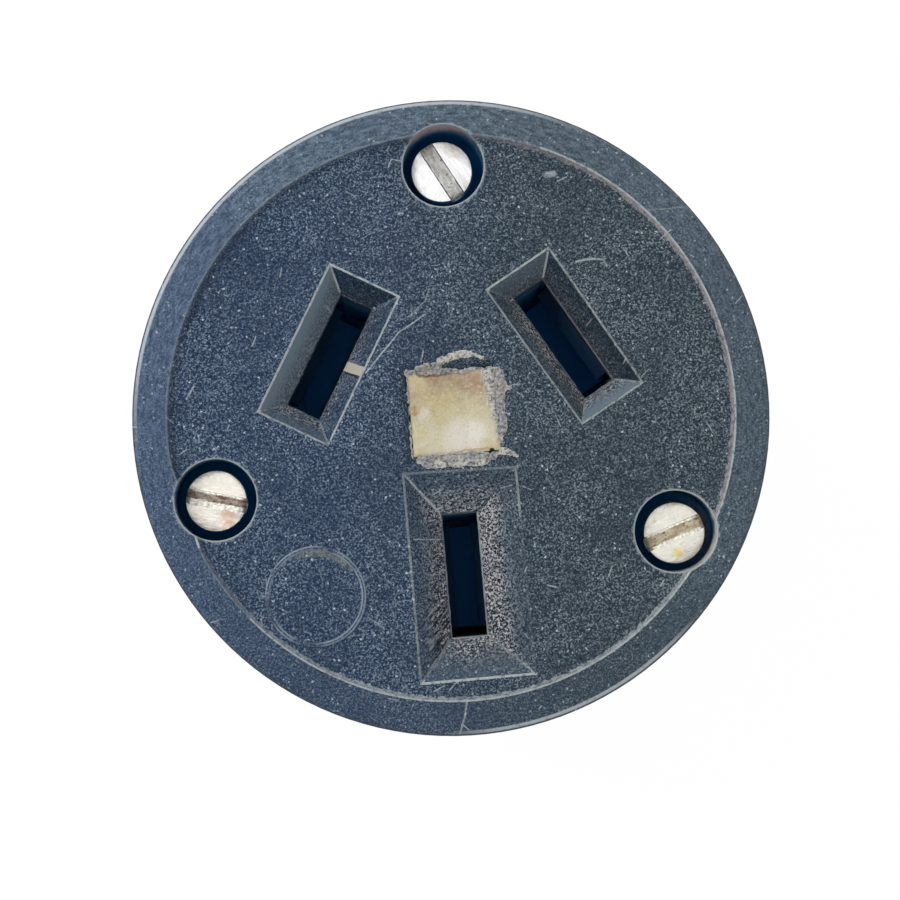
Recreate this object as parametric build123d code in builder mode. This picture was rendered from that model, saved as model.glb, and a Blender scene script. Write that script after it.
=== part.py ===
from build123d import *

import os
from math import atan2, cos, degrees, radians, sin

# Round cord connector for a plug with three flat blades. +Z is the axis and points out of the mating
# face, and the lower blade slot is towards -Y. The origin is the centre of the flat end round the cord
# hole, on which the connector stands. All sizes are in millimetres.

# Overall sizes
body_diameter = 38.1
overall_length = 42.0
front_depth = 14.0
neck_diameter = 26.0
neck_length = 12.5
shoulder_height = 6.0

# Mating face: a flat rim round a disc that lies a little lower
rim_width = 2.3
disc_drop = 0.5
step_slope = 0.2
rim_chamfer = 0.3

# Blade slots, each with a sloping entry in the disc
slot_length = 7.4
slot_width = 2.1
entry_depth = 1.8
upper_entry = 1.2
lower_entry = 2.4
slot_web = 1.2
upper_slot_x = 7.1
upper_slot_y = 4.35
lower_slot_y = -9.5
slot_tilt = 30

# Contacts of bent brass strip, which stand in pockets behind the slots
contact_length = 6.4
base_width = 4.0
strip_thickness = 0.8
leaf_thickness = 0.6
leaf_root = 1.6
leaf_pinch = 0.65
leaf_mouth = 1.3
leaf_root_height = 1.6
leaf_flare = 1.6
leaf_top_gap = 1.9
leaf_bend_radius = 0.7
tab_width = 5.0
terminal_reach = 4.6
pocket_gap = 0.3

# Screws and threaded inserts
screw_edge_distance = 3.97
screw_bearings = {"top": 86.8, "left": 194.2, "right": 328.5}
screw_slot_turns = {"top": 118.0, "left": -15.3, "right": 18.4}
screw_seat_depth = 4.2
head_diameter = 3.75
head_height = 2.1
head_recess_diameter = 4.87
shank_diameter = 2.5
shank_length = 16.5
insert_diameter = 4.2
insert_length = 8.0
boss_wall = 1.1
terminal_head_diameter = 4.8
terminal_head_height = 1.4
terminal_shank_diameter = 2.8
terminal_shank_length = 5.5
driver_slot_width = 0.75
driver_slot_depth = 0.8
screw_clearance = 0.2
thread_gap = 0.03
insert_gap = 0.02
tip_room = 1.0

# Retaining plate, with its screw, its square nut and the sealing wax over the nut
retainer_diameter = 22.4
retainer_thickness = 1.6
retainer_notch_gap = 0.5
seal_y = 0.3
seal_mouth = 5.9
nut_recess_width = 5.0
nut_recess_depth = 3.4
nut_width = 4.76
nut_thickness = 2.0
wax_sink = 0.55
wax_gap = 0.02
retainer_head_diameter = 4.7
retainer_head_height = 1.7

# Rear housing
chamber_wall = 3.45
cone_height = 6.5
joint_lip_height = 1.2
joint_lip_width = 1.5
joint_gap = 0.05
cord_hole_diameter = 11.1
mouth_radius = 0.9
heel_radius = 0.7
shoulder_radius = 3.0

# Cord clamp, set in a notch across one side of the neck
notch_floor = 3.0
notch_height = 9.0
clamp_seat_y = -3.2
saddle_width = 8.0
saddle_thickness = 1.0
saddle_span = 24.0
saddle_corner_radius = 2.0
saddle_cord_gap = 0.3
clamp_screw_x = 9.3
clamp_insert_diameter = 4.4
clamp_insert_length = 6.5
clamp_head_diameter = 4.7
clamp_head_height = 1.8
clamp_shank_diameter = 2.8

# Places that follow from the sizes
body_radius = body_diameter / 2
disc_radius = body_radius - rim_width
disc_z = overall_length - disc_drop
joint_z = overall_length - front_depth
screw_circle = body_radius - screw_edge_distance
lip_radius = body_radius - joint_lip_width
chamber_radius = body_radius - chamber_wall
cord_hole_radius = cord_hole_diameter / 2
pocket_top = disc_z - entry_depth - slot_web
leaf_height = pocket_top - joint_z - leaf_top_gap
nut_floor = disc_z - nut_recess_depth
wax_floor = nut_floor + nut_thickness
clamp_z = notch_floor + notch_height / 2

slots = {
    "left": (-upper_slot_x, upper_slot_y, 180 - slot_tilt, upper_entry),
    "right": (upper_slot_x, upper_slot_y, slot_tilt, upper_entry),
    "lower": (0, lower_slot_y, 180, lower_entry),
}


def across_slot(name, z):
    """Level plane on a slot's centre. Its x points at the contact's terminal and its y lies along the slot."""
    x, y, bearing, _ = slots[name]
    return Plane(origin=(x, y, z), x_dir=(cos(radians(bearing)), sin(radians(bearing)), 0), z_dir=(0, 0, 1))


def end_of_slot(name):
    """Upright plane that a slot's long sides stand square to. Its x points at the terminal and its y is up."""
    x, y, bearing, _ = slots[name]
    outward = (cos(radians(bearing)), sin(radians(bearing)), 0)
    return Plane(origin=(x, y, joint_z), x_dir=outward, z_dir=(outward[1], -outward[0], 0))


def on_screw_circle(bearing, z):
    """Level plane on an assembly screw's axis, turned like the body."""
    angle = radians(bearing)
    return Plane(origin=(screw_circle * cos(angle), screw_circle * sin(angle), z))


def contact_outline(gap=0.0):
    """Base and terminal tab of a contact, seen along the axis and grown all round by gap."""
    Rectangle(base_width + 2 * gap, contact_length + 2 * gap)
    with Locations((terminal_reach / 2, 0)):
        Rectangle(terminal_reach, tab_width + 2 * gap)
    with Locations((terminal_reach, 0)):
        Circle(tab_width / 2 + gap)


def slotted_screw(seat, head, height, crown, shank, length, turn=0.0):
    """Screw whose head stands on the seat plane. Its shank goes the other way, and crown rounds the head."""
    with BuildPart() as screw:
        with BuildSketch(seat):
            Circle(head / 2)
        extrude(amount=height)
        fillet(screw.edges().group_by(Axis(seat.origin, seat.z_dir))[-1], crown)
        with BuildSketch(seat.offset(height)):
            Rectangle(head * 1.5, driver_slot_width, rotation=turn)
        extrude(amount=-driver_slot_depth, mode=Mode.SUBTRACT)
        with BuildSketch(seat):
            Circle(shank / 2)
        extrude(amount=-length)
        chamfer(screw.edges().group_by(Axis(seat.origin, seat.z_dir))[0], shank / 8)
    return screw.part


def threaded_insert(mouth, diameter, bore, length):
    """Brass sleeve that is moulded in below the mouth plane."""
    with BuildPart() as sleeve:
        with BuildSketch(mouth):
            Circle(diameter / 2 - insert_gap)
            Circle(bore / 2 + thread_gap, mode=Mode.SUBTRACT)
        extrude(amount=-length)
    return sleeve.part


def save(part, name):
    """Label a finished piece and write it as a STEP file."""
    part.label = name
    export_step(part, f"parts/{name}.step")


os.makedirs("parts", exist_ok=True)

# Front moulding: rim, dropped disc, blade slots and, behind them, the contact pockets
with BuildPart() as front_moulding:
    with BuildSketch(Plane.XZ) as front_section:
        with BuildLine():
            Polyline(
                (0, joint_z),
                (lip_radius, joint_z),
                (lip_radius, joint_z + joint_lip_height),
                (body_radius, joint_z + joint_lip_height),
                (body_radius, overall_length),
                (disc_radius + step_slope, overall_length),
                (disc_radius, disc_z),
                (0, disc_z),
                close=True,
            )
        make_face()
        chamfer(front_section.vertices().sort_by_distance((body_radius, overall_length))[0], rim_chamfer)
    revolve(axis=Axis.Z)
    for name, (_, _, _, entry) in slots.items():
        with BuildSketch(across_slot(name, disc_z)):
            Rectangle(slot_width + 2 * entry, slot_length + 2 * entry)
        extrude(amount=-entry_depth, taper=degrees(atan2(entry, entry_depth)), mode=Mode.SUBTRACT)
        with BuildSketch(across_slot(name, disc_z - entry_depth)):
            Rectangle(slot_width, slot_length)
        extrude(amount=-slot_web, mode=Mode.SUBTRACT)
        with BuildSketch(across_slot(name, joint_z)):
            Rectangle(
                2 * (leaf_root + leaf_thickness + pocket_gap),
                contact_length + 2 * pocket_gap,
            )
            Rectangle(slot_width, slot_length)
        extrude(amount=pocket_top - joint_z, mode=Mode.SUBTRACT)
        with BuildSketch(across_slot(name, joint_z)):
            contact_outline(pocket_gap / 2)
        extrude(amount=strip_thickness, mode=Mode.SUBTRACT)
        with BuildSketch(across_slot(name, joint_z)):
            with Locations((terminal_reach, 0)):
                Circle(terminal_shank_diameter / 2 + screw_clearance)
        extrude(amount=terminal_shank_length + tip_room, mode=Mode.SUBTRACT)
    for bearing in screw_bearings.values():
        with BuildSketch(on_screw_circle(bearing, overall_length)):
            Circle(head_recess_diameter / 2)
        extrude(amount=-screw_seat_depth, mode=Mode.SUBTRACT)
        with BuildSketch(on_screw_circle(bearing, overall_length)):
            Circle(shank_diameter / 2 + screw_clearance)
        extrude(amount=-front_depth, mode=Mode.SUBTRACT)
    with BuildSketch(Plane((0, seal_y, disc_z))):
        Rectangle(seal_mouth, seal_mouth)
    seal_slope = degrees(atan2((seal_mouth - nut_recess_width) / 2, wax_sink))
    extrude(amount=-wax_sink, taper=seal_slope, mode=Mode.SUBTRACT)
    with BuildSketch(Plane((0, seal_y, nut_floor))):
        Rectangle(nut_recess_width, nut_recess_width)
    extrude(amount=disc_z - wax_sink - nut_floor, mode=Mode.SUBTRACT)
    with BuildSketch(Plane((0, seal_y, joint_z))):
        Circle(shank_diameter / 2 + screw_clearance)
    extrude(amount=nut_floor - joint_z, mode=Mode.SUBTRACT)
save(front_moulding.part, "front_moulding")

# Space inside the rear housing: cord hole, cone and wiring chamber, less the bosses for the inserts
with BuildPart() as cavity:
    with BuildSketch(Plane.XZ):
        with BuildLine():
            Polyline(
                (0, neck_length),
                (cord_hole_radius, neck_length),
                (chamber_radius, neck_length + cone_height),
                (chamber_radius, joint_z),
                (0, joint_z),
                close=True,
            )
        make_face()
    revolve(axis=Axis.Z)
    for bearing in screw_bearings.values():
        with BuildSketch(on_screw_circle(bearing, neck_length)):
            Circle(insert_diameter / 2 + boss_wall)
        extrude(amount=joint_z - neck_length, mode=Mode.SUBTRACT)

# Rear housing: neck with the clamp's notch, shoulder, and a skirt whose lip laps the front moulding
with BuildPart() as rear_housing:
    with BuildSketch(Plane.XZ) as rear_section:
        with BuildLine():
            Polyline(
                (cord_hole_radius, 0),
                (neck_diameter / 2, 0),
                (neck_diameter / 2, neck_length),
                (body_radius, neck_length + shoulder_height),
                (body_radius, joint_z + joint_lip_height - joint_gap),
                (lip_radius + joint_gap, joint_z + joint_lip_height - joint_gap),
                (lip_radius + joint_gap, joint_z),
                (cord_hole_radius, joint_z),
                close=True,
            )
        make_face()
        corners = rear_section.vertices()
        fillet(corners.sort_by_distance((cord_hole_radius, 0))[0], mouth_radius)
        fillet(corners.sort_by_distance((neck_diameter / 2, 0))[0], heel_radius)
        fillet(corners.sort_by_distance((neck_diameter / 2, neck_length))[0], shoulder_radius)
        fillet(corners.sort_by_distance((body_radius, neck_length + shoulder_height))[0], shoulder_radius)
    revolve(axis=Axis.Z)
    add(cavity.part, mode=Mode.SUBTRACT)
    with BuildSketch(Plane.XY.offset(notch_floor)):
        with Locations((0, clamp_seat_y)):
            Rectangle(body_diameter, body_radius, align=(Align.CENTER, Align.MAX))
    extrude(amount=notch_height, mode=Mode.SUBTRACT)
    for bearing in screw_bearings.values():
        with BuildSketch(on_screw_circle(bearing, joint_z)):
            Circle(insert_diameter / 2)
        extrude(amount=-insert_length, mode=Mode.SUBTRACT)
        with BuildSketch(on_screw_circle(bearing, joint_z)):
            Circle(shank_diameter / 2 + screw_clearance)
        extrude(amount=front_depth - screw_seat_depth - shank_length - tip_room, mode=Mode.SUBTRACT)
    for side in (-1, 1):
        with BuildSketch(Plane(origin=(side * clamp_screw_x, clamp_seat_y, clamp_z), z_dir=(0, -1, 0))):
            Circle(clamp_insert_diameter / 2)
        extrude(amount=-clamp_insert_length, mode=Mode.SUBTRACT)
save(rear_housing.part, "rear_housing")

# Contacts: two sprung leaves on a base that runs out to the terminal tab, with the terminal's screw
for name in slots:
    with BuildPart() as contact:
        with BuildSketch(across_slot(name, joint_z)):
            contact_outline()
            with Locations((terminal_reach, 0)):
                Circle(terminal_shank_diameter / 2 + thread_gap, mode=Mode.SUBTRACT)
        extrude(amount=strip_thickness)
        with BuildSketch(end_of_slot(name)):
            with BuildLine():
                FilletPolyline(
                    (leaf_root + leaf_thickness / 2, strip_thickness / 2),
                    (leaf_root + leaf_thickness / 2, leaf_root_height),
                    (leaf_pinch + leaf_thickness / 2, leaf_height - leaf_flare),
                    (leaf_mouth + leaf_thickness / 2, leaf_height),
                    radius=leaf_bend_radius,
                )
            trace(line_width=leaf_thickness)
            mirror(about=Plane.YZ)
        extrude(amount=contact_length / 2, both=True)
    save(contact.part, f"contact_{name}")
    x, y, bearing, _ = slots[name]
    terminal_x = x + terminal_reach * cos(radians(bearing))
    terminal_y = y + terminal_reach * sin(radians(bearing))
    terminal_screw = slotted_screw(
        Plane(origin=(terminal_x, terminal_y, joint_z), z_dir=(0, 0, -1)),
        terminal_head_diameter,
        terminal_head_height,
        terminal_head_height / 3,
        terminal_shank_diameter,
        terminal_shank_length,
        turn=bearing,
    )
    save(terminal_screw, f"terminal_screw_{name}")

# Assembly screws, sunk in the mating face, and the inserts that they pull on
for name, bearing in screw_bearings.items():
    assembly_screw = slotted_screw(
        on_screw_circle(bearing, overall_length - screw_seat_depth),
        head_diameter,
        head_height,
        head_height / 6,
        shank_diameter,
        shank_length,
        turn=screw_slot_turns[name],
    )
    save(assembly_screw, f"assembly_screw_{name}")
    body_insert = threaded_insert(on_screw_circle(bearing, joint_z), insert_diameter, shank_diameter, insert_length)
    save(body_insert, f"body_insert_{name}")

# Retaining plate of fibre, notched for the terminal screws, that keeps the contacts in their pockets
retainer_z = joint_z - retainer_thickness
with BuildPart() as retaining_plate:
    with BuildSketch(Plane.XY.offset(retainer_z)):
        Circle(retainer_diameter / 2)
        with Locations((0, seal_y)):
            Circle(shank_diameter / 2 + screw_clearance, mode=Mode.SUBTRACT)
    extrude(amount=retainer_thickness)
    for name in slots:
        with BuildSketch(across_slot(name, retainer_z)):
            with Locations((terminal_reach, 0)):
                Circle(terminal_head_diameter / 2 + retainer_notch_gap)
        extrude(amount=retainer_thickness, mode=Mode.SUBTRACT)
save(retaining_plate.part, "retaining_plate")

# Its screw comes from behind and pulls on the square nut in the front moulding
retainer_screw = slotted_screw(
    Plane(origin=(0, seal_y, retainer_z), z_dir=(0, 0, -1)),
    retainer_head_diameter,
    retainer_head_height,
    retainer_head_height / 2,
    shank_diameter,
    wax_floor - tip_room / 4 - retainer_z,
    turn=40,
)
save(retainer_screw, "retainer_screw")

with BuildPart() as retainer_nut:
    with BuildSketch(Plane((0, seal_y, nut_floor))):
        Rectangle(nut_width, nut_width)
        Circle(shank_diameter / 2 + thread_gap, mode=Mode.SUBTRACT)
    extrude(amount=nut_thickness)
save(retainer_nut.part, "retainer_nut")

# Sealing wax poured over the nut
with BuildPart() as sealing_wax:
    with BuildSketch(Plane((0, seal_y, wax_floor))):
        Rectangle(nut_recess_width - 2 * wax_gap, nut_recess_width - 2 * wax_gap)
    extrude(amount=disc_z - wax_sink - wax_floor)
save(sealing_wax.part, "sealing_wax")

# Saddle of the cord clamp: a strap bent over the cord, with an ear under each screw
arch_radius = cord_hole_radius + saddle_cord_gap
with BuildPart() as clamp_saddle:
    with BuildSketch(Plane.XY.offset(clamp_z - saddle_width / 2)):
        Circle(arch_radius + saddle_thickness)
        with Locations((0, clamp_seat_y)):
            Rectangle(body_diameter, body_diameter, align=(Align.CENTER, Align.MIN), mode=Mode.SUBTRACT)
            Rectangle(saddle_span, saddle_thickness, align=(Align.CENTER, Align.MAX))
        Circle(arch_radius, mode=Mode.SUBTRACT)
    extrude(amount=saddle_width)
    fillet(clamp_saddle.edges().filter_by(Axis.Y).group_by(Axis.X)[0], saddle_corner_radius)
    fillet(clamp_saddle.edges().filter_by(Axis.Y).group_by(Axis.X)[-1], saddle_corner_radius)
    for side in (-1, 1):
        with BuildSketch(Plane(origin=(side * clamp_screw_x, clamp_seat_y, clamp_z), z_dir=(0, -1, 0))):
            Circle(clamp_shank_diameter / 2 + screw_clearance)
        extrude(amount=saddle_thickness, mode=Mode.SUBTRACT)
save(clamp_saddle.part, "clamp_saddle")

# Screws of the clamp and their inserts in the neck
for name, side in {"left": -1, "right": 1}.items():
    clamp_screw = slotted_screw(
        Plane(origin=(side * clamp_screw_x, clamp_seat_y - saddle_thickness, clamp_z), z_dir=(0, -1, 0)),
        clamp_head_diameter,
        clamp_head_height,
        clamp_head_height / 2,
        clamp_shank_diameter,
        saddle_thickness + clamp_insert_length - tip_room,
        turn=25 * side,
    )
    save(clamp_screw, f"clamp_screw_{name}")
    clamp_insert = threaded_insert(
        Plane(origin=(side * clamp_screw_x, clamp_seat_y, clamp_z), z_dir=(0, -1, 0)),
        clamp_insert_diameter,
        clamp_shank_diameter,
        clamp_insert_length,
    )
    save(clamp_insert, f"clamp_insert_{name}")
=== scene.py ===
import math

import bmesh
import bpy
from mathutils import Matrix, Vector, noise


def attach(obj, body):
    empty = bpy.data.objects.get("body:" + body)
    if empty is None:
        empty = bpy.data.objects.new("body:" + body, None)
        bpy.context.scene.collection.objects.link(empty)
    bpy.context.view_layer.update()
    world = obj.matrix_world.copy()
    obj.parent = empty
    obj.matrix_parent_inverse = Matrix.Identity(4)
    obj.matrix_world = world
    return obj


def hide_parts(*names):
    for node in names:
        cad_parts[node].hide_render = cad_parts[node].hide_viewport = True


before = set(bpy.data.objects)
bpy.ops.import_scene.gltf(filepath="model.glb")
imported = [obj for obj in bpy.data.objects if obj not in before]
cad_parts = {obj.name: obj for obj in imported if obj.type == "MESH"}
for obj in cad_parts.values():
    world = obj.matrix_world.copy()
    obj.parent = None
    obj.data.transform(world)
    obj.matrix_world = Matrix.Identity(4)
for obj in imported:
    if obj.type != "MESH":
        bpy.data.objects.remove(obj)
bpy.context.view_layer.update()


# Studio: a white table, a soft lamp over the left shoulder and a weak one opposite, in a white room.
# The camera looks straight down on the mating face from 160 mm, turned five degrees about the axis.
camera_place = Vector((-0.00162, -0.01093, 0.202))
camera_aim = Vector((-0.00024, -0.00204, 0.042))
picture_up = Vector((0.0872, 0.9962, 0.0))


def turned_to(place, aim, up):
    """Rotation that looks from place to aim with up at the top."""
    back = (place - aim).normalized()
    right = up.cross(back).normalized()
    return Matrix((right, back.cross(right), back)).transposed().to_euler()


bpy.ops.object.select_all(action="DESELECT")
bpy.ops.object.camera_add(location=camera_place, rotation=turned_to(camera_place, camera_aim, picture_up))
camera = bpy.context.object
camera.data.lens = 107.6
camera.data.sensor_width = 36
camera.data.clip_start = 0.01
bpy.context.scene.camera = camera

for lamp_name, place, size, power in (
    ("key", Vector((-0.21, 0.15, 0.33)), 0.16, 0.62),
    ("fill", Vector((0.20, -0.22, 0.26)), 0.30, 0.12),
):
    turn = turned_to(place, camera_aim, Vector((0, 0, 1)))
    bpy.ops.object.light_add(type="AREA", location=place, rotation=turn)
    lamp = bpy.context.object
    lamp.name = lamp_name
    lamp.data.size = size
    lamp.data.energy = power


def feed(node, inputs):
    """Link the inputs of a node that are given as another node's socket, and set the others."""
    for key, value in inputs.items():
        if isinstance(value, bpy.types.NodeSocket):
            node.id_data.links.new(value, node.inputs[key])
        else:
            node.inputs[key].default_value = value


def wire(tree, kind, inputs=None, **settings):
    """Add a node with its settings and inputs."""
    node = tree.nodes.new(kind)
    for name, value in settings.items():
        setattr(node, name, value)
    feed(node, inputs or {})
    return node


def tree_of(values):
    """Node tree of the first value that is a node's socket."""
    return next(value.id_data for value in values if isinstance(value, bpy.types.NodeSocket))


def sums(operation, *values, clamp=False):
    """Output of a Math node, or of a row of them that takes in more than two values one by one."""
    inputs = dict(enumerate(values[:2]))
    node = wire(tree_of(values), "ShaderNodeMath", inputs, operation=operation, use_clamp=clamp)
    return sums(operation, node.outputs[0], *values[2:], clamp=clamp) if values[2:] else node.outputs[0]


def white_for_the_eye(tree, plain, white):
    """Strength that is white to the camera and in reflections, and plain to everything else."""
    path = wire(tree, "ShaderNodeLightPath").outputs
    seen = sums("MAXIMUM", *(path[f"Is {kind} Ray"] for kind in ("Camera", "Glossy", "Transmission")))
    return wire(tree, "ShaderNodeMapRange", {"Value": seen, "To Min": plain, "To Max": white}).outputs[0]


def new_material(name):
    """Material and its node tree."""
    material = bpy.data.materials.new(name)
    material.use_nodes = True
    return material, material.node_tree


room = bpy.data.worlds.new("room")
room.use_nodes = True
feed(room.node_tree.nodes["Background"], {
    "Color": (1, 1, 1, 1), "Strength": white_for_the_eye(room.node_tree, 0.5, 1.0),
})
bpy.context.scene.world = room
bpy.context.scene.view_settings.view_transform = "Standard"

bpy.ops.mesh.primitive_grid_add(x_subdivisions=8, y_subdivisions=8, size=1.6, location=(0, 0, 0))
table = bpy.context.object
table.name = "table"
table_paint, tree = new_material("table_paint")
shader = tree.nodes["Principled BSDF"]
feed(shader, {"Base Color": (0.97, 0.97, 0.97, 1), "Roughness": 0.9})
glow = wire(tree, "ShaderNodeEmission", {"Color": (1, 1, 1, 1), "Strength": 1.04})
seen = white_for_the_eye(tree, 0.0, 0.92)
mixed = wire(tree, "ShaderNodeMixShader", {0: seen, 1: shader.outputs[0], 2: glow.outputs[0]})
feed(tree.nodes["Material Output"], {"Surface": mixed.outputs[0]})
table.data.materials.append(table_paint)


# Front moulding: black phenolic gone blue-grey, pressed in a steel mould. It holds the rim, the dropped disc,
# the three blade entries, the screw recesses and, behind them, the contact pockets. The ring at the lower
# left is the mark of an ejector pin. Its edges are worn, and dust lies in its corners.
def take_only(piece):
    """Select this piece alone and make it active."""
    bpy.ops.object.select_all(action="DESELECT")
    bpy.context.view_layer.objects.active = piece
    piece.select_set(True)


def cut_large_faces():
    """Cut the faces with more than four sides into triangles."""
    bpy.ops.mesh.select_mode(type="FACE")
    bpy.ops.mesh.select_all(action="DESELECT")
    bpy.ops.mesh.select_face_by_sides(number=4, type="GREATER")
    bpy.ops.mesh.quads_convert_to_tris(ngon_method="BEAUTY")


def softened_copy(node, name, passes, lip_length=1.0, lip_cuts=0):
    """Copy of a CAD node, merged, with the edges that each pass chooses rounded. Rounded faces get slot 1.

    A pass is a width, a number of rings and a choice by the edge's middle in millimetres, direction and
    convexity. Edges near the face that are longer than lip_length are first cut lip_cuts times.
    """
    sharp = math.radians(25)
    lip_level = 0.0395
    piece = bpy.data.objects.new(name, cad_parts[node].data.copy())
    bpy.context.scene.collection.objects.link(piece)
    piece.data.materials.clear()
    for part in ("plain", "rounded"):
        piece.data.materials.append(bpy.data.materials.get(part) or bpy.data.materials.new(part))
    for face in piece.data.polygons:
        face.material_index = 0
    take_only(piece)
    bpy.ops.object.mode_set(mode="EDIT")
    bpy.ops.mesh.select_mode(type="VERT")
    bpy.ops.mesh.select_all(action="SELECT")
    bpy.ops.mesh.remove_doubles(threshold=2e-6)
    bpy.ops.mesh.dissolve_limited(angle_limit=math.radians(0.15))
    cut_large_faces()
    bpy.ops.mesh.select_mode(type="EDGE")
    if lip_cuts:
        bpy.ops.mesh.select_all(action="DESELECT")
        shape = bmesh.from_edit_mesh(piece.data)
        for edge in shape.edges:
            if edge.calc_length() > lip_length and edge.calc_face_angle() > sharp:
                edge.select_set(edge.verts[0].co.z + edge.verts[1].co.z > 2 * lip_level)
        bmesh.update_edit_mesh(piece.data)
        bpy.ops.mesh.subdivide(number_cuts=lip_cuts)
    for width, rings, chosen in passes:
        bpy.ops.mesh.select_all(action="DESELECT")
        shape = bmesh.from_edit_mesh(piece.data)
        for edge in shape.edges:
            if len(edge.link_faces) == 2 and edge.calc_face_angle() > sharp:
                middle = (edge.verts[0].co + edge.verts[1].co) / 2
                along = (edge.verts[1].co - edge.verts[0].co).normalized()
                edge.select_set(bool(chosen(middle * 1000, along, edge.is_convex)))
        bmesh.update_edit_mesh(piece.data)
        bpy.ops.mesh.bevel(offset=width, segments=rings, affect="EDGES", clamp_overlap=False, material=1)
    cut_large_faces()
    bpy.ops.object.mode_set(mode="OBJECT")
    return piece


def finished(piece, material, angle=32):
    """Give the piece one material and smooth normals that keep its flats flat."""
    piece.data.materials.clear()
    piece.data.materials.append(material)
    for face in piece.data.polygons:
        face.material_index = 0
    take_only(piece)
    bpy.ops.object.shade_smooth_by_angle(angle=math.radians(angle))
    piece.modifiers.new("flats", "WEIGHTED_NORMAL").keep_sharp = True
    bpy.ops.object.modifier_apply(modifier="flats")


# Levels and places on the face, in millimetres
face_level = 41.5
throat_level = 39.75
outer_edge = 18.5
wax_corner = 3.2
slot_places = {"left": (-7.1, 4.35), "right": (7.1, 4.35), "lower": (0.0, -9.5)}
slot_turns = {"left": math.radians(-30), "right": math.radians(30), "lower": 0.0}
mark_place = Vector((-8.97, -10.03, 41.49))


def by_the_wax(at):
    """Whether a place lies in the square round the wax."""
    return max(abs(at.x), abs(at.y - 0.3)) <= wax_corner


def part_way(value):
    """A share, kept from 0 to 1."""
    return min(1.0, max(0.0, value))


front = softened_copy("front_moulding", "front_moulding_body", (
    (0.00012, 3, lambda at, along, convex: convex and at.z > 41.6 and at.xy.length > outer_edge),
    (0.00012, 3, lambda at, along, convex: convex and 39.6 < at.z < 39.8),
    (0.00008, 2, lambda at, along, convex: at.z > 39.8 and at.xy.length < outer_edge and (
        convex or abs(along.z) > 0.3
    )),
), lip_length=0.0016, lip_cuts=28)
rounded = {corner for face in front.data.polygons if face.material_index == 1 for corner in face.vertices}
for corner in rounded:
    vertex = front.data.vertices[corner]
    at = vertex.co * 1000
    if at.xy.length < 12.5:
        ragged = 0.015 if at.z > 40.2 else 0.04
        shift = Vector((noise.noise(at * 3.1), noise.noise(at * 3.1 + Vector((7, 7, 7))), 0))
        vertex.co += shift * ragged / 1000

# On the real moulding the outlines at the face lie up to 0.36 mm off their drawn places: for each entry, the
# shifts of its corners top left, top right, bottom left and bottom right, and whether its throat moves too
outline_shifts = {
    "left": (((0.16, 0.0), (0.20, -0.04), (0.04, 0.04), (0.12, -0.04)), True),
    "right": (((0.10, -0.10), (0.12, -0.16), (0.19, -0.08), (0.08, -0.20)), True),
    "lower": (((0.30, 0.20), (0.12, 0.03), (0.30, -0.13), (0.23, -0.12)), False),
}
half_outline = {"left": (2.25, 4.95), "right": (2.25, 4.95), "lower": (3.5, 6.15)}
half_throat = (1.25, 3.9)
# Axes of the left and right recesses as drawn, with the shifts of their mouths
recess_shifts = {(-14.62, -3.70): (0.20, -0.07), (12.86, -7.88): (-0.11, -0.14)}
mouth_reach = 3.2
for vertex in front.data.vertices:
    at = vertex.co * 1000
    for slot, (corners, with_throat) in outline_shifts.items():
        local = Matrix.Rotation(-slot_turns[slot], 2) @ (at.xy - Vector(slot_places[slot]))
        half = half_outline[slot]
        reach = (half[0] + 0.2, half[1] + 0.2) if at.z > 39.2 else half_throat
        if abs(local.x) < reach[0] and abs(local.y) < reach[1] and at.z > 38.4 and not by_the_wax(at):
            across = part_way(0.5 + local.x / (2 * half[0]))
            up = part_way(0.5 + local.y / (2 * half[1]))
            top = Vector(corners[0]).lerp(Vector(corners[1]), across)
            bottom = Vector(corners[2]).lerp(Vector(corners[3]), across)
            share = 1.0 if with_throat else part_way((at.z - throat_level) / 1.6)
            vertex.co.xy += bottom.lerp(top, up) * share / 1000
    for axis, shift in recess_shifts.items():
        away = (at.xy - Vector(axis)).length
        if away < mouth_reach and at.z > 37.9:
            share = min(1.0, (at.z - 37.9) / 3.6) * min(1.0, (mouth_reach - away) / 0.6)
            vertex.co.xy += Vector(shift) * share / 1000

# The ejector mark is a thin raised line that stands on the disc
bpy.ops.mesh.primitive_torus_add(
    location=mark_place / 1000, major_radius=0.00290, minor_radius=0.00013,
    major_segments=96, minor_segments=10,
)
ejector_mark = bpy.context.object
ejector_mark.data.materials.clear()

face_looks = ("worn", "dusty", "hazy", "tooled")
for look in face_looks:
    front.data.attributes.new(look, "FLOAT", "FACE")
worn, dusty, hazy, tooled = (front.data.attributes[look].data for look in face_looks)
# How dusty the four slopes of each entry are, and how much haze and painted light (values above 0) and
# painted shade (values below 0) they get, named as they lie in the picture
slope_looks = {
    "left": {"left": (0.35, 0.9), "top": (0.12, -0.65), "right": (0.4, 0.0), "bottom": (0.75, 0.3)},
    "right": {"left": (0.9, 0.05), "top": (0.3, 0.4), "right": (0.2, -0.6), "bottom": (0.85, 0.85)},
    "lower": {"left": (0.85, 0.0), "top": (0.95, 0.0), "right": (1.35, 0.0), "bottom": (0.85, 0.15)},
}
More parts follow.
